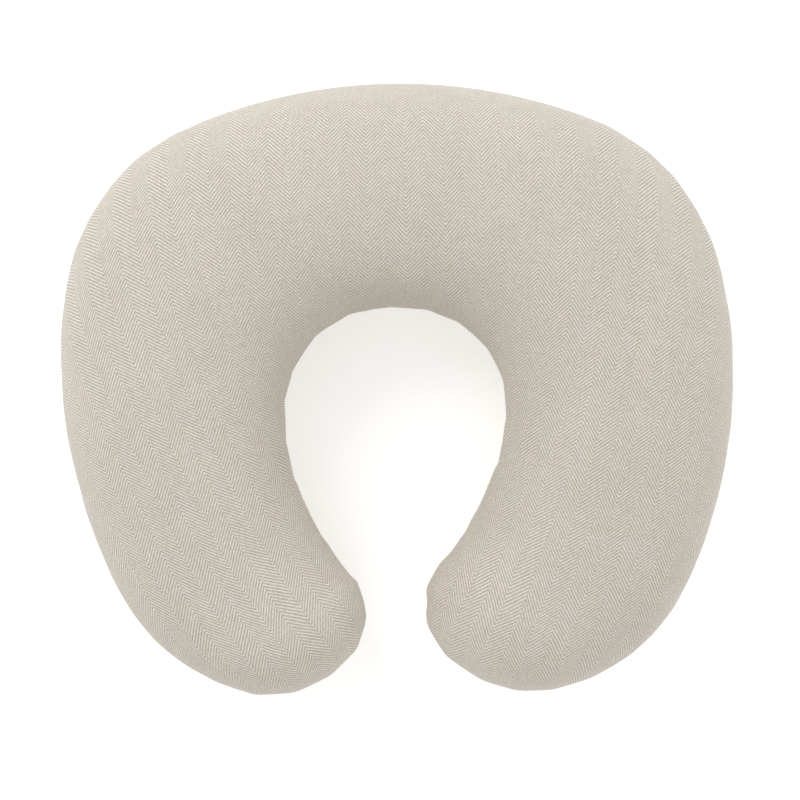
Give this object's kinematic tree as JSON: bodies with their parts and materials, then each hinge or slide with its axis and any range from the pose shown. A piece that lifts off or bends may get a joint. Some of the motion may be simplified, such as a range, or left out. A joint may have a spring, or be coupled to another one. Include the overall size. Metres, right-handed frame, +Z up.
{
  "type": "nursing pillow",
  "caption": "C-shaped stuffed nursing pillow in a removable herringbone fabric cover, with a curved zipper in the outer back seam.",
  "frame": {"origin": "under the middle of the pillow's bounding box, on the surface that it lies on", "axes": "+Z up; +Y towards the back of the C; the arm tips point to -Y; +X along the pillow's width, towards the end where the zipper is closed"},
  "size_m": [0.5286, 0.4796, 0.145],
  "materials": {
    "cover_fabric": "herringbone weave of oatmeal and beige yarns, matt",
    "casing_fabric": "plain white poly-cotton, matt",
    "fibre_fill": "loose white polyester fibre",
    "sewing_thread": "spun polyester thread",
    "label_ribbon": "smooth blank ribbon",
    "zipper_tape": "woven polyester tape",
    "zipper_coil": "polyester monofilament",
    "zipper_metal": "satin nickel plate"
  },
  "bodies": {
    "pillow": {"cover_top_panel": "cover_fabric", "cover_bottom_panel": "cover_fabric", "inner_casing_top": "casing_fabric", "inner_casing_bottom": "casing_fabric", "fibre_fill": "fibre_fill", "cover_seam_thread": "sewing_thread", "casing_closing_thread": "sewing_thread", "care_label": "label_ribbon", "inner_casing_label": "label_ribbon", "zipper_tape_upper": "zipper_tape", "zipper_tape_lower": "zipper_tape", "zipper_coil_upper": "zipper_coil", "zipper_coil_lower": "zipper_coil", "zipper_top_stop_upper": "zipper_metal", "zipper_top_stop_lower": "zipper_metal", "zipper_bottom_stop": "zipper_metal", "zipper_stitching_upper": "sewing_thread", "zipper_stitching_lower": "sewing_thread", "zipper_bartack_left": "sewing_thread", "zipper_bartack_right": "sewing_thread"},
    "slider": {"zipper_slider": "zipper_metal"},
    "pull": {"zipper_pull": "zipper_metal"}
  },
  "joints": [
    {"name": "slider_travel", "type": "hinge", "parent": "pillow", "child": "slider", "pos_m": [0, -0.18, 0.052], "axis": [0, 0, 1], "range_deg": [0, 37.2]},
    {"name": "pull_swing", "type": "hinge", "parent": "slider", "child": "pull", "pos_m": [0.1331, 0.2155, 0.052], "axis": [0, 0, -1], "range_deg": [0, 180]}
  ]
}
